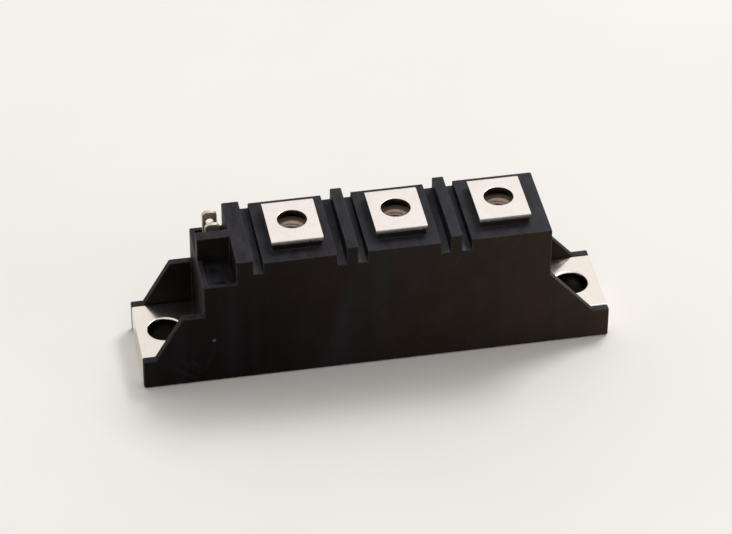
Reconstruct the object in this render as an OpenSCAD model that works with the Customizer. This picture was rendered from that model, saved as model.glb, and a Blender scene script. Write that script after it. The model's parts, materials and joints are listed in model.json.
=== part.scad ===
// Power transistor module with three screw terminals and a pair of control tabs.
// A moulded housing stands on a plated base bar. Sealed inside it, two ceramic boards carry a
// transistor and two diodes, which the bent terminal strips and the tabs reach from above.
// Millimetres, +Z up, +X towards the plain end. The origin is the middle of the base's underside.

/* [Base bar] */
// Length of the base bar and of the housing's skirts
overall_l = 91; // [88:0.5:98]
// Thickness of the base bar
base_t = 6.5; // [5:0.1:8]
// Diameter of the mounting holes
mount_hole_d = 6.4; // [5.2:0.1:7]
// Distance from the middle of an ear to its mounting hole, towards the end
hole_offset = 0.5; // [0:0.1:1]
// Chamfer round the mounting holes
hole_chamfer = 0.4; // [0.2:0.1:0.6]
// Gap between the base bar and the skirt on each side
base_gap = 0.1; // [0.05:0.05:0.3]

/* [Housing] */
// Width across the housing
body_w = 19; // [18:0.5:24]
// Length of the body between the outer faces of its end walls
body_l = 67; // [63:0.2:71]
// Height of the terminal deck
deck_z = 27.3; // [26:0.1:32]
// Thickness of the side walls, skirts and cheeks
side_t = 1.5; // [1.2:0.1:1.8]
// Thickness of the end walls
end_t = 1.8; // [1.4:0.1:2.2]
// Thickness of the roof over the inner space
roof_t = 1.6; // [1.2:0.1:2]
// Height of the skirts' lower edges above the base's underside
skirt_lift = 0.2; // [0.1:0.1:0.5]

/* [Cheeks] */
// Height of the flat top of the left cheeks
left_cheek_z = 15.8; // [12:0.1:18]
// Length of that flat top
left_cheek_flat = 4.2; // [3:0.1:6]
// Distance from the left end to the foot of the slope
left_cheek_toe = 2.4; // [1:0.1:3]
// Height at which the right cheeks leave the end wall
right_cheek_z = 16.6; // [12:0.1:18]
// Distance from the right end to the foot of the slope
right_cheek_toe = 3.2; // [1:0.1:4]

/* [Deck] */
// Distance from the face of the plain end to the nearest screw terminal
plain_end_l = 8.5; // [7.5:0.1:10]
// Thickness of the ribs between the terminals
rib_t = 2.2; // [1.6:0.1:2.6]
// Height of the ribs above the deck
rib_rise = 1.3; // [0.5:0.1:2]
// Width of the groove on each side of a rib
groove_w = 1.8; // [1.4:0.1:2.2]
// Depth of the grooves below the deck at the front
groove_depth = 2.5; // [1.5:0.1:3]
// Depth of the grooves below the deck at the rear
groove_rear_depth = 1.1; // [0.6:0.1:2]

/* [Control chambers] */
// Length of the control end up to the groove beside the first terminal
control_end_l = 9.6; // [9:0.1:11]
// Thickness of the partition between the chambers and the deck
partition_t = 3.3; // [2.5:0.1:3.8]
// Height of the partition and the divider above the deck
partition_rise = 0.7; // [0.3:0.1:2]
// Thickness of the divider between the front and rear chambers
divider_t = 2.4; // [1.6:0.1:3]
// Thickness of the low rim round the chambers
rim_t = 0.9; // [0.7:0.1:1.2]
// Drop from the deck to the top of that rim
rim_drop = 4.5; // [3.5:0.1:6]
// Depth of the chamber floors below the rim
chamber_depth = 1.2; // [0.8:0.1:2]
// Depth of the blind slots in the front chamber
blind_slot_depth = 0.8; // [0.4:0.1:1]

/* [Power terminals] */
// Width of the terminal plates
plate_w = 10; // [8.5:0.1:11]
// Distance from the screw axis to a plate's front edge
plate_front = 6.4; // [5.5:0.1:7]
// Thickness of the terminal strip
strip_t = 1; // [0.8:0.1:1.2]
// Inner radius of the strip's bends
bend_r = 0.6; // [0.4:0.1:0.8]
// Diameter of the screw hole in a plate
plate_hole_d = 5.7; // [5.3:0.1:6.5]
// Width of the leg that runs down inside
leg_w = 7; // [5:0.1:8]
// Length of the flat foot at the leg's lower end
foot_l = 2.2; // [1.5:0.1:3]
// Height of the platform under a plate above the deck
platform_h = 1.3; // [0.8:0.1:2]
// Overhang of a plate's front edge past its platform
plate_overhang = 0.2; // [0.1:0.1:0.4]

/* [Captive nuts] */
// Width of a nut across its flats
nut_af = 8; // [7:0.1:8.4]
// Height of a nut
nut_t = 4; // [3:0.1:4.5]
// Bore of a nut
nut_bore_d = 4.2; // [3.3:0.1:4.4]
// Free height between a nut and the plate over it
nut_play = 1.4; // [0.3:0.1:2]
// Gap between a nut and its pocket on each side
nut_gap = 0.1; // [0.05:0.05:0.2]
// Wall round a nut pocket inside the housing
pocket_wall = 0.9; // [0.7:0.1:1.4]
// Wall beside a nut pocket in the platform over the deck
platform_wall = 0.7; // [0.5:0.1:1]
// Diameter of the well for the screw's end below a nut
screw_well_d = 5.6; // [5.2:0.1:6]
// Depth of that well
screw_well_depth = 4; // [2:0.1:5]
// Thickness of the floor under the well
well_floor_t = 1.4; // [1:0.1:2]

/* [Control tabs] */
// Width of a tab's blade
tab_w = 2.8; // [2.4:0.1:3.2]
// Thickness of a tab
tab_t = 0.8; // [0.5:0.1:1]
// Height of the tabs above the chamber rim
tab_rise = 5.5; // [4.5:0.1:7]
// Distance between the two tabs
tab_spacing = 3.9; // [3:0.1:4.2]
// Cut at the corners of a tab's tip
tab_tip_cut = 0.6; // [0.3:0.1:0.9]
// Diameter of the hole in a tab
tab_hole_d = 1.5; // [1.2:0.1:1.6]
// Distance from a tab's tip to its hole
tab_hole_drop = 2.2; // [1.8:0.1:3]
// Width of the stem below a blade
stem_w = 1.8; // [1.4:0.1:2.2]
// Length of the flat foot at the stem's lower end
stem_foot_l = 1; // [0.6:0.1:1.4]
// Gap round a strip or a stem in its slot
slot_gap = 0.1; // [0.05:0.05:0.2]

/* [Boards inside] */
// Thickness of the foil under a ceramic board
lower_foil_t = 0.3; // [0.2:0.05:0.5]
// Thickness of a ceramic board
ceramic_t = 0.7; // [0.4:0.05:1]
// Thickness of the conductor tracks
track_t = 0.3; // [0.2:0.05:0.5]
// Gap between a board and the housing's walls
board_gap = 0.5; // [0.3:0.1:0.8]
// Gap between the two boards
board_split = 1; // [0.6:0.1:1.6]
// Bare edge of a ceramic board round its copper
bare_edge = 0.4; // [0.3:0.1:0.6]
// Gap between neighbouring tracks
track_gap = 1; // [0.6:0.1:1.2]
// Length of the two control tracks
control_track_l = 3.6; // [3:0.1:4]
// Distance from the left edge of the anode track to its terminal's leg
anode_track_lead = 3; // [2.5:0.1:4]

/* [Chips and links] */
// Thickness of the chips
chip_t = 0.4; // [0.2:0.05:0.6]
// Side of the transistor chip
transistor_side = 8; // [6:0.1:8.4]
// Side of the clamp diode chip
clamp_side = 5; // [4:0.1:6]
// Side of the freewheel diode chip
freewheel_side = 6.5; // [5:0.1:7]
// Clear space round a chip
chip_gap = 0.8; // [0.5:0.1:1]
// Width of the copper clips
clip_w = 3.6; // [2.5:0.1:4]
// Thickness of the copper clips
clip_t = 0.5; // [0.3:0.1:0.8]
// Height of a clip's arch over its contacts
clip_rise = 1; // [0.5:0.1:2]
// Length of a clip's contact on a chip or a track
clip_contact_l = 3; // [2:0.1:3.6]
// Diameter of the bond wires
wire_d = 0.4; // [0.2:0.05:0.5]

/* [Filling] */
// Height of the top of the soft gel
gel_z = 13; // [11.5:0.1:15]

/* [Hidden] */
$fn = 64;

// How far a cutting shape runs past the face that it opens
cut_over = 1;

plated = "#d9d6d0";
black_moulding = "#1d1c1f";
copper = "#b8693d";
silicon = "#4a4d57";

// The inner space and the base bar between the skirts
inner_w = body_w - 2 * side_t;
inner_l = body_l - 2 * end_t;
base_w = inner_w - 2 * base_gap;
hole_x = (overall_l + body_l) / 4 + hole_offset;

// The deck: two gaps and two and a half blocks lie between its first groove and the axis of
// the last terminal, which gives the length of the blocks and the pitch of the terminals
partition_x1 = -body_l / 2 + control_end_l;
last_terminal_x = body_l / 2 - plain_end_l;
gap_l = rib_t + 2 * groove_w;
block_l = (last_terminal_x - partition_x1 - groove_w - 2 * gap_l) / 2.5;
terminal_pitch = block_l + gap_l;
function terminal_x(i) = last_terminal_x - (2 - i) * terminal_pitch;
function rib_x(i) = (terminal_x(i) + terminal_x(i + 1)) / 2;
groove_z = deck_z - groove_depth;
groove_fall = (groove_depth - groove_rear_depth) / body_w;
rib_z = deck_z + rib_rise;

// The control chambers
partition_x0 = partition_x1 - partition_t;
partition_z = deck_z + partition_rise;
rim_z = deck_z - rim_drop;
chamber_z = rim_z - chamber_depth;
chamber_x0 = -body_l / 2 + rim_t;
chamber_y0 = divider_t / 2;
chamber_y1 = body_w / 2 - rim_t;

// Ceilings of the inner space
deck_ceiling_z = groove_z - roof_t;
chamber_ceiling_z = chamber_z - roof_t;
high_space_x0 = partition_x0 + roof_t;

// Nut pockets and their bosses
pocket_af = nut_af + 2 * nut_gap;
pocket_d = pocket_af / cos(30);
boss_half_x = pocket_af / 2 + pocket_wall;
boss_half_y = pocket_d / 2 + pocket_wall;
platform_w = pocket_af + 2 * platform_wall;
plate_z0 = deck_z + platform_h;
plate_z1 = plate_z0 + strip_t;
nut_z0 = plate_z0 - nut_play - nut_t;
well_z = nut_z0 - screw_well_depth;
boss_z0 = well_z - well_floor_t;

// Legs of the terminal strips
leg_y0 = boss_half_y + slot_gap;
leg_y1 = leg_y0 + strip_t;
bend_outer_r = bend_r + strip_t;
foot_y0 = leg_y0 - bend_r - foot_l;

// Control tabs and their stems
tab_x = (chamber_x0 + partition_x0) / 2;
chamber_mid_y = (chamber_y0 + chamber_y1) / 2;
base_tab_y = chamber_mid_y - tab_spacing / 2;
emitter_tab_y = chamber_mid_y + tab_spacing / 2;
tab_tip_z = rim_z + tab_rise;

// Levels of the stack on the base bar
ceramic_z = base_t + lower_foil_t;
track_z = ceramic_z + ceramic_t;
track_top_z = track_z + track_t;
chip_top_z = track_top_z + chip_t;

// Boards and tracks in plan
board_half_w = inner_w / 2 - board_gap;
left_board_x0 = -inner_l / 2 + board_gap;
left_board_x1 = rib_x(0) - board_split / 2;
right_board_x0 = rib_x(0) + board_split / 2;
right_board_x1 = inner_l / 2 - board_gap;
track_half_w = board_half_w - bare_edge;
control_x0 = left_board_x0 + bare_edge;
control_x1 = control_x0 + control_track_l;
control_split_y = (base_tab_y + emitter_tab_y) / 2;
collector_x0 = control_x1 + track_gap;
collector_x1 = left_board_x1 - bare_edge;
midpoint_x0 = right_board_x0 + bare_edge;
anode_x0 = terminal_x(2) - leg_w / 2 - anode_track_lead;
midpoint_x1 = anode_x0 - track_gap;
anode_x1 = right_board_x1 - bare_edge;

// Chips in plan: they lie in front of the terminals' feet
transistor_x = collector_x0 + chip_gap + transistor_side / 2;
transistor_y = foot_y0 - chip_gap - transistor_side / 2;
clamp_x = collector_x1 - chip_gap - clamp_side / 2;
freewheel_x = midpoint_x1 - chip_gap - freewheel_side / 2;

// A box between two opposite corners
module span_box(low, high) {
    translate(low) cube(high - low);
}

// A rectangle between two opposite corners
module span_square(low, high) {
    translate(low) square(high - low);
}

// A side-view outline (X, Z) made into a solid that is centred across the width
module across(width) {
    rotate([90, 0, 0]) linear_extrude(width, center = true) children();
}

// An end-view outline (Y, Z) made into a solid that is centred on X = 0
module along(length) {
    rotate([90, 0, 90]) linear_extrude(length, center = true) children();
}

// Quarter of a bent strip's ring, in the quadrant that the two signs give
module bend_quarter(inner_r, outer_r, sign_x, sign_y) {
    intersection() {
        difference() {
            circle(outer_r);
            circle(inner_r);
        }
        span_square(
            [min(0, sign_x * outer_r), min(0, sign_y * outer_r)],
            [max(0, sign_x * outer_r), max(0, sign_y * outer_r)]
        );
    }
}

// Base bar with a chamfered hole in each ear
module base_plate() {
    color(plated)
    difference() {
        span_box([-overall_l / 2, -base_w / 2, 0], [overall_l / 2, base_w / 2, base_t]);
        for (side = [-1, 1])
            translate([side * hole_x, 0, 0]) mount_hole();
    }
}

module mount_hole() {
    rim_d = mount_hole_d + 2 * hole_chamfer;
    translate([0, 0, -cut_over]) cylinder(d = mount_hole_d, h = base_t + 2 * cut_over);
    translate([0, 0, base_t - hole_chamfer]) cylinder(d1 = mount_hole_d, d2 = rim_d, h = hole_chamfer);
    cylinder(d1 = rim_d, d2 = mount_hole_d, h = hole_chamfer);
}

// Side view of the body: control end, partition, deck and ribs
module body_section() {
    half_l = body_l / 2;
    span_square([-half_l, base_t], [half_l, rim_z]);
    span_square([partition_x0, base_t], [half_l, deck_z]);
    span_square([partition_x0, base_t], [partition_x1, partition_z]);
    for (i = [0, 1])
        span_square([rib_x(i) - rib_t / 2, base_t], [rib_x(i) + rib_t / 2, rib_z]);
}

// End view of a groove across the deck, whose floor falls towards the front
module groove_section() {
    reach = body_w / 2 + cut_over;
    polygon([
        [-reach, groove_z - cut_over * groove_fall],
        [reach, deck_z - groove_rear_depth + cut_over * groove_fall],
        [reach, deck_z + cut_over],
        [-reach, deck_z + cut_over]
    ]);
}

// Grooves beside the partition and on both sides of each rib
module deck_grooves() {
    rib_offset = (rib_t + groove_w) / 2;
    middles = concat(
        [partition_x1 + groove_w / 2],
        [for (i = [0, 1], side = [-1, 1]) rib_x(i) + side * rib_offset]
    );
    for (x = middles)
        translate([x, 0, 0]) along(groove_w) groove_section();
}

// Side view of a skirt with the sloped cheeks beside the ears
module skirt_section() {
    half_l = overall_l / 2;
    polygon([
        [-half_l, skirt_lift],
        [half_l, skirt_lift],
        [half_l, base_t],
        [half_l - right_cheek_toe, base_t],
        [body_l / 2, right_cheek_z],
        [-body_l / 2, left_cheek_z],
        [-body_l / 2 - left_cheek_flat, left_cheek_z],
        [-half_l + left_cheek_toe, base_t],
        [-half_l, base_t]
    ]);
}

// Raised platform that carries a terminal plate, in end view: its rear edge is cut for the bend
module platform_section() {
    front_y = -plate_front + plate_overhang;
    polygon([
        [front_y, groove_z],
        [boss_half_y, groove_z],
        [boss_half_y, plate_z0 - bend_r],
        [leg_y0 - bend_r, plate_z0],
        [front_y, plate_z0]
    ]);
}

// Hollow inside the housing, with the nut bosses left standing in it
module inner_space() {
    difference() {
        union() {
            span_box([-inner_l / 2, -inner_w / 2, base_t], [inner_l / 2, inner_w / 2, chamber_ceiling_z]);
            span_box([high_space_x0, -inner_w / 2, base_t], [inner_l / 2, inner_w / 2, deck_ceiling_z]);
        }
        for (i = [0:2])
            translate([terminal_x(i), 0, 0])
                span_box([-boss_half_x, -boss_half_y, boss_z0], [boss_half_x, boss_half_y, deck_z]);
    }
}

// Hexagonal pocket, screw well and leg slot of one terminal
module terminal_cuts() {
    slot_half_w = leg_w / 2 + slot_gap;
    translate([0, 0, nut_z0])
        rotate([0, 0, 30]) cylinder(d = pocket_d, h = plate_z0 - nut_z0 + cut_over, $fn = 6);
    translate([0, 0, well_z]) cylinder(d = screw_well_d, h = nut_z0 - well_z + cut_over);
    span_box(
        [-slot_half_w, leg_y0 - slot_gap, boss_z0],
        [slot_half_w, leg_y1 + slot_gap, plate_z0 + cut_over]
    );
}

// Slot for a tab's stem, cut from the chamber floor down to a given level
module stem_slot(y, bottom_z) {
    half_w = stem_w / 2 + slot_gap;
    half_t = tab_t / 2 + slot_gap;
    translate([tab_x, y, 0])
        span_box([-half_w, -half_t, bottom_z], [half_w, half_t, chamber_z + cut_over]);
}

// Both control chambers: live slots at the rear, blind ones at the front
module chamber_cuts() {
    for (side = [0, 1])
        mirror([0, side, 0])
            span_box([chamber_x0, chamber_y0, chamber_z], [partition_x0, chamber_y1, rim_z + cut_over]);
    for (y = [base_tab_y, emitter_tab_y]) {
        stem_slot(y, chamber_ceiling_z - cut_over);
        stem_slot(-y, chamber_z - blind_slot_depth);
    }
}

// Moulded housing
module housing() {
    color(black_moulding)
    difference() {
        union() {
            across(body_w) body_section();
            for (side = [-1, 1])
                translate([0, side * (body_w - side_t) / 2, 0]) across(side_t) skirt_section();
            span_box([-body_l / 2, -divider_t / 2, chamber_z], [partition_x1, divider_t / 2, partition_z]);
            for (i = [0:2])
                translate([terminal_x(i), 0, 0]) along(platform_w) platform_section();
        }
        deck_grooves();
        inner_space();
        chamber_cuts();
        for (i = [0:2])
            translate([terminal_x(i), 0, 0]) terminal_cuts();
    }
}

// Plate of a terminal strip with the bend at its rear edge, in end view
module plate_section() {
    span_square([-plate_front, plate_z0], [leg_y1 - bend_outer_r, plate_z1]);
    translate([leg_y1 - bend_outer_r, plate_z1 - bend_outer_r])
        bend_quarter(bend_r, bend_outer_r, 1, 1);
}

// Leg and foot of a terminal strip, in end view
module leg_section() {
    foot_bend_z = track_top_z + bend_outer_r;
    span_square([leg_y0, foot_bend_z], [leg_y1, plate_z1 - bend_outer_r]);
    translate([leg_y0 - bend_r, foot_bend_z]) bend_quarter(bend_r, bend_outer_r, 1, -1);
    span_square([foot_y0, track_top_z], [leg_y0 - bend_r, track_top_z + strip_t]);
}

// One bent terminal strip
module terminal_strip(i) {
    color(plated)
    translate([terminal_x(i), 0, 0])
    difference() {
        union() {
            along(plate_w) plate_section();
            along(leg_w) leg_section();
        }
        translate([0, 0, plate_z0 - cut_over]) cylinder(d = plate_hole_d, h = strip_t + 2 * cut_over);
    }
}

module collector_terminal() {
    terminal_strip(0);
}

module midpoint_terminal() {
    terminal_strip(1);
}

module anode_terminal() {
    terminal_strip(2);
}

// Hexagon nut with chamfered corners, standing on z = 0
module hex_nut() {
    corner_d = nut_af / cos(30);
    chamfer_h = (corner_d - nut_af) / 2 * tan(30);
    difference() {
        intersection() {
            rotate([0, 0, 30]) cylinder(d = corner_d, h = nut_t, $fn = 6);
            rotate_extrude()
                polygon([
                    [0, 0],
                    [nut_af / 2, 0],
                    [corner_d / 2, chamfer_h],
                    [corner_d / 2, nut_t - chamfer_h],
                    [nut_af / 2, nut_t],
                    [0, nut_t]
                ]);
        }
        translate([0, 0, -cut_over]) cylinder(d = nut_bore_d, h = nut_t + 2 * cut_over);
    }
}

module terminal_nuts() {
    color("#a39a86")
    for (i = [0:2])
        translate([terminal_x(i), 0, nut_z0]) hex_nut();
}

// Blade of a control tab, in front view
module blade_section() {
    half_w = tab_w / 2;
    polygon([
        [-half_w, chamber_z],
        [half_w, chamber_z],
        [half_w, tab_tip_z - tab_tip_cut],
        [half_w - tab_tip_cut, tab_tip_z],
        [-half_w + tab_tip_cut, tab_tip_z],
        [-half_w, tab_tip_z - tab_tip_cut]
    ]);
}

// Stem and foot of a control tab, in end view about the blade's middle plane
module stem_section() {
    foot_bend_z = track_top_z + bend_r + tab_t;
    foot_y1 = -tab_t / 2 - bend_r;
    span_square([-tab_t / 2, foot_bend_z], [tab_t / 2, chamber_z]);
    translate([foot_y1, foot_bend_z]) bend_quarter(bend_r, bend_r + tab_t, 1, -1);
    span_square([foot_y1 - stem_foot_l, track_top_z], [foot_y1, track_top_z + tab_t]);
}

// One control tab: drilled blade, narrow stem and foot
module control_tab(y) {
    color(plated)
    translate([tab_x, y, 0]) {
        difference() {
            across(tab_t) blade_section();
            translate([0, 0, tab_tip_z - tab_hole_drop])
                rotate([90, 0, 0]) cylinder(d = tab_hole_d, h = tab_t + 2 * cut_over, center = true);
        }
        along(stem_w) stem_section();
    }
}

module base_tab() {
    control_tab(base_tab_y);
}

module emitter_tab() {
    control_tab(emitter_tab_y);
}

module lower_foil(x0, x1) {
    color(copper)
    span_box([x0 + bare_edge, -track_half_w, base_t], [x1 - bare_edge, track_half_w, ceramic_z]);
}

module lower_foil_left() {
    lower_foil(left_board_x0, left_board_x1);
}

module lower_foil_right() {
    lower_foil(right_board_x0, right_board_x1);
}

module ceramic_board(x0, x1) {
    color("#ece8dc")
    span_box([x0, -board_half_w, ceramic_z], [x1, board_half_w, track_z]);
}

module ceramic_left() {
    ceramic_board(left_board_x0, left_board_x1);
}

module ceramic_right() {
    ceramic_board(right_board_x0, right_board_x1);
}

// Copper track between two corners in plan
module track(low, high) {
    color(copper)
    span_box([low.x, low.y, track_z], [high.x, high.y, track_top_z]);
}

module collector_track() {
    track([collector_x0, -track_half_w], [collector_x1, track_half_w]);
}

module base_track() {
    track([control_x0, -track_half_w], [control_x1, control_split_y - track_gap / 2]);
}

module sense_track() {
    track([control_x0, control_split_y + track_gap / 2], [control_x1, track_half_w]);
}

module midpoint_track() {
    track([midpoint_x0, -track_half_w], [midpoint_x1, track_half_w]);
}

module anode_track() {
    track([anode_x0, -track_half_w], [anode_x1, track_half_w]);
}

// Square chip, soldered on its track
module chip(x, side) {
    color(silicon)
    translate([x, transistor_y, track_top_z])
        span_box([-side / 2, -side / 2, 0], [side / 2, side / 2, chip_t]);
}

module transistor_chip() {
    chip(transistor_x, transistor_side);
}

module clamp_diode_chip() {
    chip(clamp_x, clamp_side);
}

module freewheel_diode_chip() {
    chip(freewheel_x, freewheel_side);
}

// Copper clip in side view: flat contacts at the given middles and levels, joined by arches
module clip_section(middles, levels) {
    half_l = clip_contact_l / 2;
    ramp_l = clip_rise;
    last = len(middles) - 1;
    arch_z = chip_top_z + clip_rise;
    lower = [
        for (i = [0:last]) each [
            if (i > 0) [middles[i] - half_l - ramp_l, arch_z],
            [middles[i] - half_l, levels[i]],
            [middles[i] + half_l, levels[i]],
            if (i < last) [middles[i] + half_l + ramp_l, arch_z]
        ]
    ];
    upper = [for (i = [len(lower) - 1:-1:0]) lower[i] + [0, clip_t]];
    polygon(concat(lower, upper));
}

module copper_clip(middles, levels) {
    color(copper)
    translate([0, transistor_y, 0]) across(clip_w) clip_section(middles, levels);
}

module emitter_clip() {
    copper_clip(
        [transistor_x, clamp_x, midpoint_x0 + clip_contact_l / 2],
        [chip_top_z, chip_top_z, track_top_z]
    );
}

module anode_clip() {
    copper_clip(
        [freewheel_x, anode_x0 + bare_edge + clip_contact_l / 2],
        [chip_top_z, track_top_z]
    );
}

// Bond wire: half a ring from a track up and over to the top of a chip
module bond_wire(from, to) {
    reach = to - from;
    span = norm(reach);
    color("#c9cbd0")
    translate([from.x, from.y, chip_top_z])
    rotate([0, 0, atan2(reach.y, reach.x)]) {
        translate([span / 2, 0, 0])
            rotate([90, 0, 0])
                rotate_extrude(angle = 180) translate([span / 2, 0]) circle(d = wire_d);
        translate([0, 0, -chip_t]) cylinder(d = wire_d, h = chip_t);
    }
}

wire_start_x = control_x1 - chip_gap;
wire_end_x = transistor_x - transistor_side / 2 + chip_gap;

module base_wire() {
    bond_wire([wire_start_x, transistor_y], [wire_end_x, transistor_y]);
}

module sense_wire() {
    emitter_y = transistor_y + transistor_side / 2 - chip_gap;
    bond_wire([wire_start_x, (control_split_y + track_half_w) / 2], [transistor_x - clip_w / 2, emitter_y]);
}

// The inner space between two levels
module inner_layer(z0, z1) {
    intersection() {
        inner_space();
        span_box([-body_l / 2, -body_w / 2, z0], [body_l / 2, body_w / 2, z1]);
    }
}

// Everything that stands up into the fillings from the boards
module risers() {
    collector_terminal();
    midpoint_terminal();
    anode_terminal();
    base_tab();
    emitter_tab();
}

// Soft gel round the boards, chips and links
module silicone_gel() {
    color("#cfd6d8")
    difference() {
        inner_layer(base_t, gel_z);
        risers();
        lower_foil_left();
        lower_foil_right();
        ceramic_left();
        ceramic_right();
        collector_track();
        base_track();
        sense_track();
        midpoint_track();
        anode_track();
        transistor_chip();
        clamp_diode_chip();
        freewheel_diode_chip();
        emitter_clip();
        anode_clip();
        base_wire();
        sense_wire();
    }
}

// Hard filling from the gel up to the roof
module epoxy_fill() {
    color("#2a2725")
    difference() {
        inner_layer(gel_z, deck_z);
        risers();
    }
}

base_plate();
housing();
collector_terminal();
midpoint_terminal();
anode_terminal();
terminal_nuts();
base_tab();
emitter_tab();
lower_foil_left();
lower_foil_right();
ceramic_left();
ceramic_right();
collector_track();
base_track();
sense_track();
midpoint_track();
anode_track();
transistor_chip();
clamp_diode_chip();
freewheel_diode_chip();
emitter_clip();
anode_clip();
base_wire();
sense_wire();
silicone_gel();
epoxy_fill();
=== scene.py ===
"""Looks of a power transistor module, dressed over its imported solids.

The moulded housing, the plated base bar, the terminal strips and the control tabs are the solids
with their sharp edges rounded. The captive nuts get their threads. Every piece, also inside, gets
the finish of its own material. All sizes are metres in the solids' own frame, where +X points to
the plain end, +Y to the side where the terminal strips bend down, and +Z up from the heat sink.
"""

import json
import math

import bmesh
import bpy
import numpy as np
from mathutils import Matrix, Vector


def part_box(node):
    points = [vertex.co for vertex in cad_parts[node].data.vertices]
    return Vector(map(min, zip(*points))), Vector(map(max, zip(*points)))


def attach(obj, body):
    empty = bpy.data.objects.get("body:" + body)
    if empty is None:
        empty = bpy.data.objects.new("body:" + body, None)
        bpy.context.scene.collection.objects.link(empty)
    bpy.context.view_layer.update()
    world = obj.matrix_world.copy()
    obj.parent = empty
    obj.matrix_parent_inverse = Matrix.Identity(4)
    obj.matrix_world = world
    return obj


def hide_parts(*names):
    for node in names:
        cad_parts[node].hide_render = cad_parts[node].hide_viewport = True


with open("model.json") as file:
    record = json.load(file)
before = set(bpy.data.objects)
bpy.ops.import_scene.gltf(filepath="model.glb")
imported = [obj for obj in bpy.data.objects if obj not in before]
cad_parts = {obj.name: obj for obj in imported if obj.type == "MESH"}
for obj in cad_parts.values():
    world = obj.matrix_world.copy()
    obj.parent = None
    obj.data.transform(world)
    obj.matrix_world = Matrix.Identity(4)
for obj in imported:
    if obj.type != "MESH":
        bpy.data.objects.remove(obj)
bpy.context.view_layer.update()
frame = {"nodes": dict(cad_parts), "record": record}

MM = 0.001


def middle_x(node):
    """The middle of a node along the module."""
    low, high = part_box(node)
    return (low.x + high.x) / 2


def mount_dims(name):
    """The sizes of one of the record's mounts."""
    return next(mount["dims"] for mount in frame["record"]["mounts"] if mount["name"] == name)


# Nodes of the terminal strips, in their order along the module, and of the control tabs
TERMINALS = ["collector_terminal", "midpoint_terminal", "anode_terminal"]
TABS = ["base_tab", "emitter_tab"]

# The housing's front, and the top of its ribs
FRONT_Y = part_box("housing")[0].y
RIB_TOP_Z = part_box("housing")[1].z

# Rounded edges: radius on each kind of piece
HOUSING_EDGE_R = 0.18 * MM
BASE_EDGE_R = 0.30 * MM
STRIP_EDGE_R = 0.12 * MM
TAB_EDGE_R = 0.06 * MM

# Least angle between faces that counts as sharp, and the greatest that counts as flat
SHARP_ANGLE = math.radians(50)
FLAT_ANGLE = math.radians(0.3)

# Distance within which corners are merged
MERGE_REACH = 0.001 * MM

# Hollow under the housing's deck, whose edges stay sharp
HOLLOW_MARGIN = 0.05 * MM
HOLLOW_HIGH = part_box("epoxy_fill")[1] + Vector((HOLLOW_MARGIN, HOLLOW_MARGIN, HOLLOW_MARGIN))

# Height just under the deck, above which a strip's edges are rounded
STRIP_LOW_Z = RIB_TOP_Z - 1.5 * MM

# Bores: hole in each terminal plate, spare reach round a bore, how much its wall may face up, and the
# painted shade on its wall
PLATE_HOLE_R = 2.85 * MM
BORE_REACH = 0.05 * MM
BORE_UPWARD = 0.5
BORE_PAINTED_SHADE = (0.05, 0.038, 0.032, 1)

# Trimmed gate mark on the housing's front, and the share of its radius that is pale all over
GATE_PLACE = Vector((-31.8 * MM, FRONT_Y, 10.0 * MM))
GATE_R = 0.45 * MM
GATE_CORE = 0.6

# Distances from the gate between which the moulding goes from painted shade to painted light
PAINTED_LIGHT_NEAR = 10 * MM
PAINTED_LIGHT_FAR = 75 * MM

# Painted sheen on the front: the slanted direction across it, and where it starts, is full and ends
SHEEN_ACROSS = Vector((0.953, 0, -0.304))
SHEEN_START = -12.8 * MM
SHEEN_FULL = -10.6 * MM
SHEEN_END = 6 * MM

# Heights between which the floors of the deck's grooves lie, and the stretch along which painted light on
# them grows toward their front ends
GROOVE_HIGH_Z = RIB_TOP_Z - 2.1 * MM
GROOVE_LOW_Z = RIB_TOP_Z - 4.1 * MM
GROOVE_LIGHT_FROM_Y = 6 * MM
GROOVE_LIGHT_TO_Y = -8 * MM

# Shares of a normal between which a face comes to count as facing one way
FACING = (0.6, 0.95)

# Lit and shaded copies of the moulding's black: painted shade near the gate at the left end, painted light
# toward the plain end, and a painted warm reflection on the front there
PAINTED_SHADE_TONES = ((0.0036, 0.0014, 0.0020, 1), (0.0052, 0.0023, 0.0031, 1))
PAINTED_LIT_TONES = ((0.0150, 0.0141, 0.0143, 1), (0.0200, 0.0189, 0.0191, 1))
PAINTED_WARM_REFLECTION_TONES = ((0.0290, 0.0180, 0.0120, 1), (0.0370, 0.0232, 0.0155, 1))

# Tones of what marks the moulding: the streaks' painted sheen, the painted sheen on the front, scuffs,
# rubbed edges, dust that also stands in for painted sheen on the tops, painted light in the grooves, and
# the gate mark
STREAK_SHEEN_TONE = (0.0130, 0.0132, 0.0155, 1)
PAINTED_SHEEN_TONE = (0.0150, 0.0165, 0.0205, 1)
SCUFF_TONE = (0.040, 0.040, 0.042, 1)
RUBBED_TONE = (0.045, 0.043, 0.043, 1)
DUST_AND_TOP_SHEEN_TONE = (0.0375, 0.0372, 0.0480, 1)
GROOVE_PAINTED_LIGHT_TONE = (0.120, 0.122, 0.140, 1)
GATE_TONE = (0.075, 0.070, 0.072, 1)

# Ranges of a noise's values: one that holds most of them, and a narrower one that gives harder patches
NOISE_RANGE = (0.3, 0.7)
NOISE_MIDDLE = (0.35, 0.65)

# Range that holds most of the grain's heights
GRAIN_RANGE = (0.4, 0.9)

# Thread of the captive nuts, and the widened mouths of their bores
THREAD_PITCH = 0.8 * MM
THREAD_CREST_R = mount_dims("midpoint_screw")["r_mm"] * MM
THREAD_ROOT_R = 2.5 * MM
NUT_MOUTH_R = 2.62 * MM

# Thread's flanks: their slope in thread depths for each pitch, and the depth that the flat crest cuts off
FLANK_SLOPE = 2.6
CREST_CUT = 0.3

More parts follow.
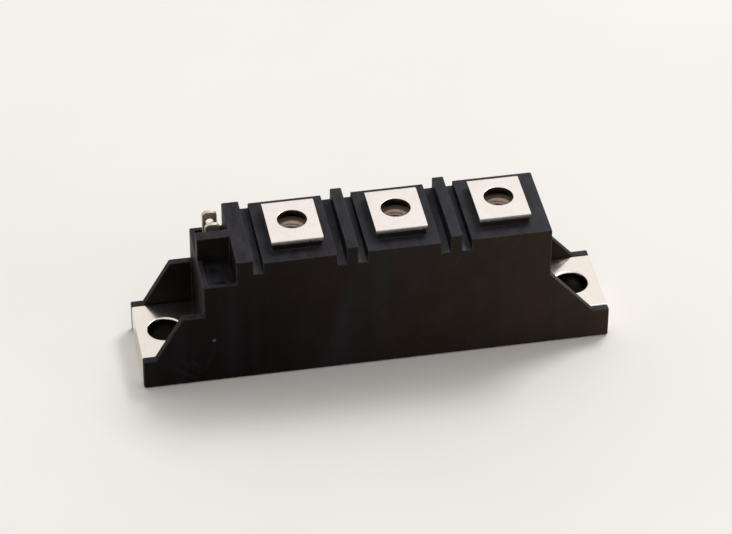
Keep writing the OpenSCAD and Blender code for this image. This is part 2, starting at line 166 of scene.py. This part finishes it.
# Hexagon of the nuts: half the angle of a side, and the slope of the cones that cut its corners
HALF_SIDE = math.radians(30)
CONE_SLOPE = math.tan(math.radians(30))

# Least angle between a nut's faces that stays sharp
NUT_SHARP_ANGLE = math.radians(25)

# Steps round a nut and along each turn of its thread
NUT_STEPS = 96
THREAD_STEPS = 14

# Points along a nut's cut corners and across its end rings, and along its sides
CUT_POINTS = 5
SIDE_POINTS = 4

# Camera: its turn, place and lens, fitted to the photograph's frame
CAMERA_AZIMUTH = math.radians(-10.571)
CAMERA_ELEVATION = math.radians(38.134)
CAMERA_ROLL = math.radians(0.124)
CAMERA_PLACE = Vector((-96.91, -515.47, 427.68)) * MM
CAMERA_LENS = 170.42
CAMERA_NEAR = 0.01
SENSOR_WIDTH = 36.0

# Floor: half its width, and its tones
FLOOR_HALF = 2.0
FLOOR_TONES = ((0.86, 0.845, 0.82, 1), (0.83, 0.815, 0.79, 1))

# Dome of light: where it is brightest, between which shares of that direction it changes, and its levels
DOME_BRIGHT_SIDE = (0.145, 0.775, 0.616)
DOME_RANGE = (-0.3, 0.85)
DOME_LEVELS = (0.36, 0.95)
DOME_TONE = (1.0, 0.985, 0.965, 1)
BACKDROP_TONE = (0.97, 0.96, 0.94, 1)


class Graph:
    """A node tree with short ways to add nodes and join them."""

    def __init__(self, tree):
        self.tree = tree

    def put(self, socket, value):
        """Joins a socket to an output, or sets it to a plain value."""
        if isinstance(value, bpy.types.NodeSocket):
            self.tree.links.new(value, socket)
        else:
            socket.default_value = value

    def add(self, kind, sockets=None, **settings):
        """A node of a kind, with its settings by name and its inputs by socket name or number."""
        made = self.tree.nodes.new(kind)
        for name, value in settings.items():
            setattr(made, name, value)
        for socket, value in (sockets or {}).items():
            self.put(made.inputs[socket], value)
        return made

    def math(self, operation, first, second=0.0):
        """One step of arithmetic on two values."""
        return self.add("ShaderNodeMath", {0: first, 1: second}, operation=operation).outputs[0]

    def product(self, first, *others):
        """Values multiplied with each other."""
        for other in others:
            first = self.math("MULTIPLY", first, other)
        return first

    def spread(self, value, low, high, to_low=0.0, to_high=1.0):
        """A value carried from one range to another, and held inside it."""
        sockets = {"Value": value, "From Min": low, "From Max": high, "To Min": to_low, "To Max": to_high}
        return self.add("ShaderNodeMapRange", sockets).outputs["Result"]

    def between(self, share, low, high):
        """A value between two values, by a share from 0 to 1."""
        return self.spread(share, 0.0, 1.0, low, high)

    def blend(self, factor, first, second):
        """A colour between two colours. The Mix node's sockets share their names, so they go by number."""
        made = self.add("ShaderNodeMix", data_type="RGBA")
        self.put(made.inputs[0], factor)
        self.put(made.inputs[6], first)
        self.put(made.inputs[7], second)
        return made.outputs[2]

    def place(self, scale=(1, 1, 1), turn=(0, 0, 0)):
        """The point on the piece, turned and then scaled."""
        point = self.add("ShaderNodeTexCoord").outputs["Object"]
        divisor = tuple(1 / share for share in scale)
        sockets = {"Vector": point, "Scale": divisor, "Rotation": turn}
        return self.add("ShaderNodeMapping", sockets, vector_type="TEXTURE").outputs[0]

    def noise(self, point, scale, detail=2.0, roughness=0.5):
        """Smooth random values round 0.5."""
        sockets = {"Vector": point, "Scale": scale, "Detail": detail, "Roughness": roughness}
        return self.add("ShaderNodeTexNoise", sockets).outputs[0]

    def mark(self, name):
        """A mark that a mesh carries on its faces."""
        return self.add("ShaderNodeAttribute", attribute_name=name).outputs["Fac"]

    def bump(self, height, depth):
        """A normal from a height, whose full step is the given depth."""
        return self.add("ShaderNodeBump", {"Height": height, "Distance": depth}).outputs["Normal"]

    def group(self, tree, sockets):
        """A shared effect, placed with its own values."""
        made = self.add("ShaderNodeGroup", node_tree=tree)
        for socket, value in sockets.items():
            self.put(made.inputs[socket], value)
        return made.outputs


def shared_effect(name, inputs, outputs):
    """An empty node group with named values in and out, and its two ends."""
    tree = bpy.data.node_groups.new(name, "ShaderNodeTree")
    for socket, value in inputs.items():
        made = tree.interface.new_socket(socket, in_out="INPUT", socket_type="NodeSocketFloat")
        made.default_value = value
    for socket in outputs:
        tree.interface.new_socket(socket, in_out="OUTPUT", socket_type="NodeSocketFloat")
    graph = Graph(tree)
    return graph, graph.add("NodeGroupInput").outputs, graph.add("NodeGroupOutput").inputs


def cloud_effect():
    """Soft patches: noise at a given number of patches per metre, with its middle range spread out."""
    graph, given, result = shared_effect("cloud", {"Scale": 200.0}, ["Tone"])
    patches = graph.noise(graph.place(), given["Scale"], detail=3.0, roughness=0.55)
    graph.put(result["Tone"], graph.spread(patches, *NOISE_RANGE))
    return graph.tree


def grain_effect():
    """Fine surface texture: a coarse and a fine noise added, the fine one at a third of the weight."""
    fineness = 2.7
    fine_weight = 0.33
    graph, given, result = shared_effect("grain", {"Scale": 4000.0}, ["Height"])
    point = graph.place()
    coarse = graph.noise(point, given["Scale"], detail=1.0)
    fine = graph.noise(point, graph.product(given["Scale"], fineness), detail=1.0)
    graph.put(result["Height"], graph.math("ADD", coarse, graph.product(fine, fine_weight)))
    return graph.tree


def scratch_effect():
    """Hairlines: where noise that varies across one slanted direction only passes its middle value, a thin
    line runs. Two directions are laid over each other, and a cloud leaves some places bare."""
    directions = (0.5, -0.9)
    tilt = 0.7
    drawn_out = (1, 0.03, 0.03)
    patch_share = 0.3
    patch_fade = 0.1
    graph, given, result = shared_effect("scratch", {"Scale": 900.0, "Width": 0.01, "Bare": 0.5}, ["Line"])
    lines = []
    for direction in directions:
        point = graph.place(scale=drawn_out, turn=(0, tilt * direction, direction))
        off_middle = graph.math("SUBTRACT", graph.noise(point, given["Scale"]), 0.5)
        lines.append(graph.spread(graph.math("ABSOLUTE", off_middle), 0.0, given["Width"], 1.0, 0.0))
    either = graph.math("MAXIMUM", *lines)
    patches = graph.noise(graph.place(), graph.product(given["Scale"], patch_share))
    shown = graph.spread(patches, given["Bare"], graph.math("ADD", given["Bare"], patch_fade))
    graph.put(result["Line"], graph.product(either, shown))
    return graph.tree


def rub_effect():
    """Rubbed edges: the mark that the rounded edges carry, broken up by noise."""
    least = 0.3
    graph, given, result = shared_effect("rub", {"Scale": 1500.0, "Amount": 0.5}, ["Mask"])
    patches = graph.noise(graph.place(), given["Scale"])
    broken = graph.spread(patches, *NOISE_MIDDLE, least, 1.0)
    graph.put(result["Mask"], graph.product(graph.mark("edge"), broken, given["Amount"]))
    return graph.tree


CLOUD = cloud_effect()
GRAIN = grain_effect()
SCRATCH = scratch_effect()
RUB = rub_effect()


def new_material(name):
    """An empty material, its graph and its shader's inputs."""
    material = bpy.data.materials.new(name)
    material.use_nodes = True
    graph = Graph(material.node_tree)
    return material, graph, material.node_tree.nodes["Principled BSDF"].inputs


def painted_light_moulding_tone(graph, clouds, painted_light_share, front):
    """Colour of the moulding with painted light: blackest near the gate as painted shade, paler toward
    the plain end as painted light from that side, and browner on the front there as a painted warm
    reflection."""
    # Painted shade near the gate, painted light toward the plain end, and a painted warm reflection on the
    # front there
    painted_shade_tone = graph.blend(clouds, *PAINTED_SHADE_TONES)
    painted_lit_tone = graph.blend(clouds, *PAINTED_LIT_TONES)
    painted_warm_reflection_tone = graph.blend(clouds, *PAINTED_WARM_REFLECTION_TONES)
    return graph.blend(painted_light_share, painted_shade_tone, graph.blend(front, painted_lit_tone, painted_warm_reflection_tone))


def painted_front_sheen(graph, point, streaks, front):
    """Mask of a faint band of painted sheen on the front: it starts at a slanted line, fades out beyond it,
    and is broken up by the upright streaks."""
    least = 0.3
    most = 0.65
    slant = graph.add("ShaderNodeVectorMath", {0: point, 1: SHEEN_ACROSS}, operation="DOT_PRODUCT")
    across = slant.outputs["Value"]
    rising = graph.spread(across, SHEEN_START, SHEEN_FULL)
    fading = graph.spread(across, SHEEN_END, SHEEN_FULL)
    return graph.product(front, rising, fading, graph.spread(streaks, *NOISE_MIDDLE, least, most))


def dust_and_painted_light(graph, point, upward, painted_light_share):
    """Masks of dust and painted light: a thin uneven coat of dust on what faces up, which also stands in
    for painted sheen on the tops and is heavier toward the plain end as painted light from that side, and
    painted light on the low front ends of the deck's grooves."""
    shaded_end_share = 0.46
    lit_end_share = 0.78
    thin = 0.35
    thick = 1.4
    drawn_out = (1, 0.35, 1)
    patches = graph.noise(graph.place(scale=drawn_out), scale=650.0, detail=4.0, roughness=0.6)
    uneven = graph.spread(patches, *NOISE_RANGE, thin, thick)
    # Dust on what faces up, which also stands in for painted sheen on the tops, heavier toward the plain
    # end as painted light from that side
    dust_and_top_sheen = graph.product(upward, graph.between(painted_light_share, shaded_end_share, lit_end_share), uneven)
    at = graph.add("ShaderNodeSeparateXYZ", {0: point}).outputs
    over = graph.math("GREATER_THAN", at["Z"], GROOVE_LOW_Z)
    under = graph.math("LESS_THAN", at["Z"], GROOVE_HIGH_Z)
    # Painted light on the low front ends of the grooves' floors
    painted_groove_light = graph.product(dust_and_top_sheen, over, under, graph.spread(at["Y"], GROOVE_LIGHT_FROM_Y, GROOVE_LIGHT_TO_Y))
    return dust_and_top_sheen, painted_groove_light


def black_moulding():
    """Black glass-filled moulding: satin grain, faint clouds, painted shade at the gate end and painted
    light toward the plain end, upright streaks of polish with painted sheen, a band of painted sheen on the
    front, scuffs, paler rubbed edges, dust that also stands in for painted sheen on what faces up, painted
    light in the grooves' front ends, and the pale mark of the trimmed gate."""
    drawn_upright = (1, 1, 0.06)
    streak_range = (0.45, 0.75)
    streak_share = 0.5
    streak_polish = 0.06
    scuff_share = 0.15
    roughness = (0.45, 0.58)
    gloss = 0.07
    grain_depth = 0.010 * MM
    material, graph, shader = new_material("black_moulding")
    clouds = graph.group(CLOUD, {"Scale": 260.0})["Tone"]
    grain = graph.group(GRAIN, {"Scale": 5200.0})["Height"]
    rubbed = graph.group(RUB, {"Scale": 900.0, "Amount": 0.75})["Mask"]
    scuffs = graph.group(SCRATCH, {"Scale": 420.0, "Width": 0.012, "Bare": 0.52})["Line"]
    streaks = graph.noise(graph.place(scale=drawn_upright), scale=170.0)
    flow_and_sheen = graph.spread(streaks, *streak_range)
    place = graph.add("ShaderNodeTexCoord").outputs
    point = place["Object"]
    facing = graph.add("ShaderNodeSeparateXYZ", {0: place["Normal"]}).outputs
    front = graph.spread(facing["Y"], -FACING[0], -FACING[1])
    upward = graph.spread(facing["Z"], *FACING)
    to_gate = graph.add("ShaderNodeVectorMath", {0: point, 1: GATE_PLACE}, operation="DISTANCE")
    off_gate = to_gate.outputs["Value"]
    # Share of painted light: none near the gate, full toward the plain end
    painted_light_share = graph.spread(off_gate, PAINTED_LIGHT_NEAR, PAINTED_LIGHT_FAR)
    bare = painted_light_moulding_tone(graph, clouds, painted_light_share, front)
    # Paler bluish tone on the streaks: painted sheen; their lower roughness is real polish
    streak_sheened = graph.blend(graph.product(flow_and_sheen, streak_share), bare, STREAK_SHEEN_TONE)
    # A paler bluish band on the front: painted sheen
    sheened = graph.blend(painted_front_sheen(graph, point, streaks, front), streak_sheened, PAINTED_SHEEN_TONE)
    scuffed = graph.blend(graph.product(scuffs, scuff_share), sheened, SCUFF_TONE)
    worn = graph.blend(rubbed, scuffed, RUBBED_TONE)
    dust_and_top_sheen, painted_groove_light = dust_and_painted_light(graph, point, upward, painted_light_share)
    # Dust and painted sheen on the tops
    dusted_and_sheened = graph.blend(dust_and_top_sheen, worn, DUST_AND_TOP_SHEEN_TONE)
    # Painted light in the grooves
    groove_lit = graph.blend(painted_groove_light, dusted_and_sheened, GROOVE_PAINTED_LIGHT_TONE)
    gate = graph.spread(off_gate, GATE_CORE * GATE_R, GATE_R, 1.0, 0.0)
    graph.put(shader["Base Color"], graph.blend(gate, groove_lit, GATE_TONE))
    satin = graph.between(clouds, *roughness)
    graph.put(shader["Roughness"], graph.math("SUBTRACT", satin, graph.product(flow_and_sheen, streak_polish)))
    shader["Specular IOR Level"].default_value = gloss
    graph.put(shader["Normal"], graph.bump(grain, grain_depth))
    return material


def plating(name, pale, deep, roughness, cloud_scale, scratch_scale, grain_scale, metallic=1.0):
    """Plated metal: clouds between two tones, satin grain, hairlines, brighter rubbed edges, and painted
    shade on the walls of bores."""
    cloud_dulling = 0.05
    line_share = 0.6
    line_dulling = 0.12
    line_depth = 0.8
    rub_polish = 0.08
    grain_depth = 0.003 * MM
    material, graph, shader = new_material(name)
    clouds = graph.group(CLOUD, {"Scale": cloud_scale})["Tone"]
    lines = graph.group(SCRATCH, {"Scale": scratch_scale})["Line"]
    grain = graph.group(GRAIN, {"Scale": grain_scale})["Height"]
    rubbed = graph.group(RUB, {"Scale": 1800.0, "Amount": 0.8})["Mask"]
    base = graph.blend(clouds, pale, deep)
    scored = graph.blend(graph.product(lines, line_share), base, deep)
    worn = graph.blend(rubbed, scored, pale)
    # Dark colour on the walls of bores: painted shade inside them
    graph.put(shader["Base Color"], graph.blend(graph.mark("bore"), worn, BORE_PAINTED_SHADE))
    satin = graph.between(clouds, roughness, roughness + cloud_dulling)
    dulled = graph.math("ADD", satin, graph.product(lines, line_dulling))
    graph.put(shader["Roughness"], graph.math("SUBTRACT", dulled, graph.product(rubbed, rub_polish)))
    shader["Metallic"].default_value = metallic
    height = graph.math("SUBTRACT", grain, graph.product(lines, line_depth))
    graph.put(shader["Normal"], graph.bump(height, grain_depth))
    return material


def bare_copper():
    """Copper foil and strip: rolled grain along the length, with browner clouds."""
    bright = (0.74, 0.42, 0.25, 1)
    browned = (0.58, 0.30, 0.17, 1)
    roughness = (0.25, 0.42)
    drawn_along = (0.05, 1, 1)
    grain_depth = 0.002 * MM
    material, graph, shader = new_material("bare_copper")
    clouds = graph.group(CLOUD, {"Scale": 420.0})["Tone"]
    rolled = graph.noise(graph.place(scale=drawn_along), scale=5000.0)
    graph.put(shader["Base Color"], graph.blend(clouds, bright, browned))
    graph.put(shader["Roughness"], graph.spread(rolled, *NOISE_RANGE, *roughness))
    shader["Metallic"].default_value = 1.0
    graph.put(shader["Normal"], graph.bump(rolled, grain_depth))
    return material


def board_ceramic():
    """White alumina: matt sintered grain with faint warm clouds."""
    white = (0.87, 0.85, 0.80, 1)
    warm = (0.80, 0.78, 0.72, 1)
    roughness = (0.55, 0.70)
    grain_depth = 0.003 * MM
    material, graph, shader = new_material("board_ceramic")
    clouds = graph.group(CLOUD, {"Scale": 300.0})["Tone"]
    grain = graph.group(GRAIN, {"Scale": 9000.0})["Height"]
    graph.put(shader["Base Color"], graph.blend(clouds, white, warm))
    graph.put(shader["Roughness"], graph.spread(grain, *GRAIN_RANGE, *roughness))
    graph.put(shader["Normal"], graph.bump(grain, grain_depth))
    return material


def chip_silicon():
    """Silicon with a metallised face: blue-grey, with a fine square grid of cells."""
    pale = (0.22, 0.23, 0.28, 1)
    deep = (0.16, 0.17, 0.22, 1)
    line_tone = (0.42, 0.42, 0.44, 1)
    roughness = (0.15, 0.35)
    material, graph, shader = new_material("chip_silicon")
    clouds = graph.group(CLOUD, {"Scale": 500.0})["Tone"]
    grid = {"Vector": graph.place(), "Scale": 2500.0, "Mortar Size": 0.06}
    cell = {"Brick Width": 1.0, "Row Height": 1.0}
    lines = graph.add("ShaderNodeTexBrick", grid | cell, offset=0.0).outputs["Fac"]
    graph.put(shader["Base Color"], graph.blend(lines, graph.blend(clouds, pale, deep), line_tone))
    graph.put(shader["Roughness"], graph.between(lines, *roughness))
    shader["Metallic"].default_value = 0.6
    return material


def wire_aluminium():
    """Drawn aluminium wire: pale, with fine drawing marks."""
    bright = (0.80, 0.81, 0.83, 1)
    dull = (0.70, 0.71, 0.73, 1)
    roughness = (0.28, 0.45)
    material, graph, shader = new_material("wire_aluminium")
    clouds = graph.group(CLOUD, {"Scale": 900.0})["Tone"]
    marks = graph.group(SCRATCH, {"Scale": 4000.0, "Width": 0.03, "Bare": 0.3})["Line"]
    graph.put(shader["Base Color"], graph.blend(clouds, bright, dull))
    graph.put(shader["Roughness"], graph.between(marks, *roughness))
    shader["Metallic"].default_value = 1.0
    return material


def soft_gel():
    """Soft silicone: pale and glossy, with milky clouds and tiny bubbles."""
    clear = (0.72, 0.76, 0.78, 1)
    milky = (0.78, 0.80, 0.80, 1)
    bubble_tone = (0.88, 0.90, 0.90, 1)
    bubble_edge = (0.05, 0.12)
    bubble_depth = 0.02 * MM
    roughness = (0.12, 0.24)
    material, graph, shader = new_material("soft_gel")
    clouds = graph.group(CLOUD, {"Scale": 180.0})["Tone"]
    cells = graph.add("ShaderNodeTexVoronoi", {"Vector": graph.place(), "Scale": 700.0})
    bubbles = graph.spread(cells.outputs["Distance"], *bubble_edge, 1.0, 0.0)
    graph.put(shader["Base Color"], graph.blend(bubbles, graph.blend(clouds, clear, milky), bubble_tone))
    graph.put(shader["Roughness"], graph.between(clouds, *roughness))
    graph.put(shader["Normal"], graph.bump(bubbles, bubble_depth))
    return material


def hard_filling():
    """Cast epoxy: very dark brown clouds, with fine filler grain."""
    deep = (0.050, 0.045, 0.042, 1)
    pale = (0.072, 0.064, 0.056, 1)
    roughness = (0.45, 0.62)
    grain_depth = 0.01 * MM
    material, graph, shader = new_material("hard_filling")
    grain = graph.group(GRAIN, {"Scale": 3000.0})["Height"]
    clouds = graph.group(CLOUD, {"Scale": 350.0})["Tone"]
    graph.put(shader["Base Color"], graph.blend(clouds, deep, pale))
    graph.put(shader["Roughness"], graph.spread(grain, *GRAIN_RANGE, *roughness))
    graph.put(shader["Normal"], graph.bump(grain, grain_depth))
    return material


MATERIALS = {
    "housing_moulding": black_moulding(),
    "base_plating": plating(
        "base_plating", pale=(0.86, 0.80, 0.745, 1), deep=(0.79, 0.73, 0.675, 1), roughness=0.19,
        cloud_scale=240.0, scratch_scale=520.0, grain_scale=3200.0,
    ),
    "terminal_plating": plating(
        "terminal_plating", pale=(0.91, 0.85, 0.81, 1), deep=(0.84, 0.78, 0.74, 1), roughness=0.18,
        cloud_scale=320.0, scratch_scale=700.0, grain_scale=3800.0,
    ),
    "tab_plating": plating(
        "tab_plating", pale=(0.62, 0.56, 0.48, 1), deep=(0.48, 0.42, 0.34, 1), roughness=0.40,
        cloud_scale=900.0, scratch_scale=1500.0, grain_scale=6000.0, metallic=0.9,
    ),
    "nut_steel": plating(
        "nut_steel", pale=(0.66, 0.51, 0.42, 1), deep=(0.48, 0.36, 0.29, 1), roughness=0.45,
        cloud_scale=700.0, scratch_scale=1400.0, grain_scale=5000.0, metallic=0.5,
    ),
    "copper": bare_copper(),
    "board_ceramic": board_ceramic(),
    "chip_silicon": chip_silicon(),
    "wire_aluminium": wire_aluminium(),
    "soft_gel": soft_gel(),
    "hard_filling": hard_filling(),
}


def finish_piece(piece, node, slot):
    """Puts a new piece on the body in place of a node, with the finish of a slot."""
    piece.data.materials.clear()
    piece.data.materials.append(MATERIALS[slot])
    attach(piece, "root")
    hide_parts(node)


def new_piece(name, mesh):
    """An object at the origin for a mesh whose place is in its vertices."""
    piece = bpy.data.objects.new(name, mesh)
    bpy.context.scene.collection.objects.link(piece)
    return piece


def everywhere(middle):
    """Edges at any place."""
    return True


def outside_hollow(middle):
    """Edges that aren't in the hollow under the deck."""
    return not (
        abs(middle.x) < HOLLOW_HIGH.x and abs(middle.y) < HOLLOW_HIGH.y and middle.z < HOLLOW_HIGH.z
    )


def above_deck(middle):
    """Edges of a strip's plate and of the top of its leg."""
    return middle.z > STRIP_LOW_Z


def rounded_copy(name, node, radius, steps, chosen, bores=()):
    """The node's solid with its sharp edges rounded.

    The triangles' equal corners are merged and flat neighbours joined. Each edge at which two faces
    meet at a sharp angle, at a chosen place, becomes an arc of the given radius in a few steps, and
    the new faces are marked in the attribute edge. Corners that the arcs bring together are merged. The
    walls of the upright bores, each given by x, y and radius, are marked in the attribute bore. Normals
    are weighted by area, so that flat faces stay flat and the arcs look round.
    """
    form = bmesh.new()
    form.from_mesh(frame["nodes"][node].data)
    edge_mark = form.faces.layers.float.new("edge")
    bore_mark = form.faces.layers.float.new("bore")
    bmesh.ops.remove_doubles(form, verts=form.verts, dist=MERGE_REACH)
    bmesh.ops.dissolve_limit(form, angle_limit=FLAT_ANGLE, verts=form.verts, edges=form.edges)
    sharp = [
        edge
        for edge in form.edges
        if edge.is_manifold
        and edge.calc_face_angle() > SHARP_ANGLE
        and chosen((edge.verts[0].co + edge.verts[1].co) / 2)
    ]
    arcs = bmesh.ops.bevel(
        form, geom=sharp, offset=radius, offset_type="OFFSET", segments=steps, profile=0.5,
        affect="EDGES", clamp_overlap=True,
    )
    for face in arcs["faces"]:
        face[edge_mark] = 1.0
    bmesh.ops.remove_doubles(form, verts=form.verts, dist=MERGE_REACH)
    for face in form.faces:
        face.smooth = True
        middle = face.calc_center_median()
        upright = abs(face.normal.z) < BORE_UPWARD
        within = any(math.hypot(middle.x - x, middle.y - y) < r + BORE_REACH for x, y, r in bores)
        face[bore_mark] = float(upright and within)
    mesh = bpy.data.meshes.new(name)
    form.to_mesh(mesh)
    form.free()
    piece = new_piece(name, mesh)
    weighting = piece.modifiers.new("weighted normals", "WEIGHTED_NORMAL")
    weighting.keep_sharp = True
    return piece


def nut_section(angle, height_total, flat_r):
    """Radius and height of a nut at each angle along the way round its section.

    Outside, the radius is the smaller of the hexagon's, which is flat_r over the cosine of the angle
    from the middle of its side, and that of the 30 degree cones which cut its corners. Inside, it runs
    between the thread's crest and root as the height and the angle pass through the pitch, and
    45 degree mouths widen both ends. Flat rings join the two walls above and below.
    """
    off_middle = np.mod(angle + HALF_SIDE, 2 * HALF_SIDE) - HALF_SIDE
    hexagon_r = flat_r / np.cos(off_middle)
    corner_r = flat_r / math.cos(HALF_SIDE)
    cut_h = (corner_r - flat_r) * CONE_SLOPE
    up = np.concatenate([
        np.linspace(0, cut_h, CUT_POINTS),
        np.linspace(cut_h, height_total - cut_h, SIDE_POINTS)[1:-1],
        np.linspace(height_total - cut_h, height_total, CUT_POINTS),
    ])[:, None]
    cone_r = flat_r + np.minimum(up, height_total - up) / CONE_SLOPE
    outer_r = np.minimum(hexagon_r[None, :], cone_r)
    outer_z = np.broadcast_to(up, outer_r.shape)
    thread_rows = 1 + round(height_total / THREAD_PITCH * THREAD_STEPS)
    down = np.linspace(height_total, 0, thread_rows)[:, None]
    turn = np.mod(down / THREAD_PITCH - angle[None, :] / (2 * math.pi), 1.0)
    groove = np.clip(np.abs(turn - 0.5) * FLANK_SLOPE - CREST_CUT, 0, 1)
    thread_r = THREAD_CREST_R + (THREAD_ROOT_R - THREAD_CREST_R) * groove
    mouth_r = NUT_MOUTH_R - np.minimum(down, height_total - down)
    inner_r = np.maximum(thread_r, mouth_r)
    inner_z = np.broadcast_to(down, inner_r.shape)
    ring = np.linspace(flat_r, NUT_MOUTH_R, CUT_POINTS)[1:-1, None] * np.ones_like(angle)[None, :]
    radius = np.concatenate([outer_r, ring, inner_r, ring[::-1]])
    height = np.concatenate([outer_z, np.full_like(ring, height_total), inner_z, np.zeros_like(ring)])
    return radius, height


def captive_nuts():
    """Three hexagon nuts with threaded bores, each one closed surface over the angle and its section."""
    low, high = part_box("terminal_nuts")
    flat_r = (high.y - low.y) / 2 * math.cos(HALF_SIDE)
    angle = np.linspace(0, 2 * math.pi, NUT_STEPS, endpoint=False)
    radius, height = nut_section(angle, high.z - low.z, flat_r)
    rows, columns = radius.shape
    ring = np.stack([radius * np.cos(angle), radius * np.sin(angle), height + low.z], -1).reshape(-1, 3)
    row, column = np.meshgrid(np.arange(rows), np.arange(columns), indexing="ij")
    next_row = (row + 1) % rows
    next_column = (column + 1) % columns
    quads = np.stack([
        row * columns + column,
        row * columns + next_column,
        next_row * columns + next_column,
        next_row * columns + column,
    ], -1).reshape(-1, 4)
    points = np.concatenate([ring + (middle_x(node), 0, 0) for node in TERMINALS])
    faces = np.concatenate([quads + i * len(ring) for i in range(len(TERMINALS))])
    mesh = bpy.data.meshes.new("captive_nuts")
    mesh.from_pydata(points, [], faces)
    mesh.polygons.foreach_set("use_smooth", np.ones(len(faces), bool))
    mesh.set_sharp_from_angle(angle=NUT_SHARP_ANGLE)
    return new_piece("captive_nuts", mesh)


# The rounded pieces and the nuts in place of their solids, and then the finish of every solid
finish_piece(
    rounded_copy("moulded_housing", "housing", HOUSING_EDGE_R, steps=2, chosen=outside_hollow),
    "housing", "housing_moulding",
)
ear_dims = mount_dims("heat_sink_holes")
ear_bores = [
    (side * ear_dims["spacing_x_mm"] / 2 * MM, 0, ear_dims["hole_r_mm"] * MM) for side in (-1, 1)
]
finish_piece(
    rounded_copy("plated_base_bar", "base_plate", BASE_EDGE_R, steps=3, chosen=everywhere, bores=ear_bores),
    "base_plate", "base_plating",
)
for node in TERMINALS:
    plate_bore = (middle_x(node), 0, PLATE_HOLE_R)
    strip_name = node.replace("terminal", "strip")
    finish_piece(
        rounded_copy(strip_name, node, STRIP_EDGE_R, steps=2, chosen=above_deck, bores=[plate_bore]),
        node, "terminal_plating",
    )
for node in TABS:
    finish_piece(
        rounded_copy(node.replace("tab", "blade"), node, TAB_EDGE_R, steps=2, chosen=everywhere),
        node, "tab_plating",
    )
finish_piece(captive_nuts(), "terminal_nuts", "nut_steel")

for part in frame["record"]["subparts"]:
    solid = frame["nodes"][part["node"]]
    solid.data.materials.clear()
    solid.data.materials.append(MATERIALS[part["material_slot"]])


def pale_floor():
    """A wide level floor under the module, pale and matt with faint clouds."""
    corners = FLOOR_HALF * np.array([(-1, -1, 0), (1, -1, 0), (1, 1, 0), (-1, 1, 0)])
    mesh = bpy.data.meshes.new("floor")
    mesh.from_pydata(corners, [], [(0, 1, 2, 3)])
    material, graph, shader = new_material("pale_floor")
    clouds = graph.group(CLOUD, {"Scale": 12.0})["Tone"]
    graph.put(shader["Base Color"], graph.blend(clouds, *FLOOR_TONES))
    shader["Roughness"].default_value = 0.9
    shader["Specular IOR Level"].default_value = 0.1
    mesh.materials.append(material)
    floor = new_piece("floor", mesh)


def studio_dome():
    """Soft light all round: brightest behind the module and above it, dim in front of it. The camera and
    mirrored rays see a plain pale backdrop instead."""
    world = bpy.data.worlds.new("studio")
    world.use_nodes = True
    bpy.context.scene.world = world
    graph = Graph(world.node_tree)
    world.node_tree.nodes.clear()
    direction = graph.add("ShaderNodeTexCoord").outputs["Generated"]
    toward = graph.add("ShaderNodeVectorMath", {0: direction, 1: DOME_BRIGHT_SIDE}, operation="DOT_PRODUCT")
    level = graph.spread(toward.outputs["Value"], *DOME_RANGE, *DOME_LEVELS)
    dome = graph.add("ShaderNodeBackground", {"Color": DOME_TONE, "Strength": level})
    backdrop = graph.add("ShaderNodeBackground", {"Color": BACKDROP_TONE, "Strength": 1.0})
    ray = graph.add("ShaderNodeLightPath").outputs
    mirrored = graph.math("MAXIMUM", ray["Is Glossy Ray"], ray["Is Transmission Ray"])
    seen = graph.math("MAXIMUM", ray["Is Camera Ray"], mirrored)
    either = graph.add("ShaderNodeMixShader", {0: seen, 1: dome.outputs[0], 2: backdrop.outputs[0]})
    graph.add("ShaderNodeOutputWorld", {"Surface": either.outputs[0]})


def soft_box(name, place, aim, width, height, power, colour):
    """A rectangular area lamp that faces a point."""
    lamp = bpy.data.lights.new(name, "AREA")
    lamp.shape = "RECTANGLE"
    lamp.size = width
    lamp.size_y = height
    lamp.energy = power
    lamp.color = colour
    box = bpy.data.objects.new(name, lamp)
    box.location = place
    box.rotation_mode = "QUATERNION"
    box.rotation_quaternion = (Vector(aim) - Vector(place)).to_track_quat("-Z", "Y")
    bpy.context.scene.collection.objects.link(box)


def camera():
    """The camera, turned by its azimuth, elevation and roll."""
    back = Vector((
        math.sin(CAMERA_AZIMUTH) * math.cos(CAMERA_ELEVATION),
        -math.cos(CAMERA_AZIMUTH) * math.cos(CAMERA_ELEVATION),
        math.sin(CAMERA_ELEVATION),
    ))
    level = Vector((math.cos(CAMERA_AZIMUTH), math.sin(CAMERA_AZIMUTH), 0))
    upright = back.cross(level)
    right = math.cos(CAMERA_ROLL) * level + math.sin(CAMERA_ROLL) * upright
    up = back.cross(right)
    lens = bpy.data.cameras.new("camera")
    lens.sensor_width = SENSOR_WIDTH
    lens.lens = CAMERA_LENS
    lens.clip_start = CAMERA_NEAR
    eye = bpy.data.objects.new("camera", lens)
    turn = Matrix((right, up, back)).transposed().to_4x4()
    eye.matrix_world = Matrix.Translation(CAMERA_PLACE) @ turn
    bpy.context.scene.collection.objects.link(eye)
    bpy.context.scene.camera = eye


pale_floor()
studio_dome()
soft_box(
    "rear_soft_box", place=(0.914, 0.852, 1.600), aim=(0, 0, 0), width=0.80, height=0.64,
    power=18.0, colour=(1, 0.98, 0.96),
)
soft_box(
    "right_fill", place=(0.40, -0.25, 0.14), aim=(0.03, 0, 0.01), width=0.2, height=0.15,
    power=0.12, colour=(1, 0.82, 0.65),
)
camera()

bpy.context.scene.view_settings.view_transform = "Standard"
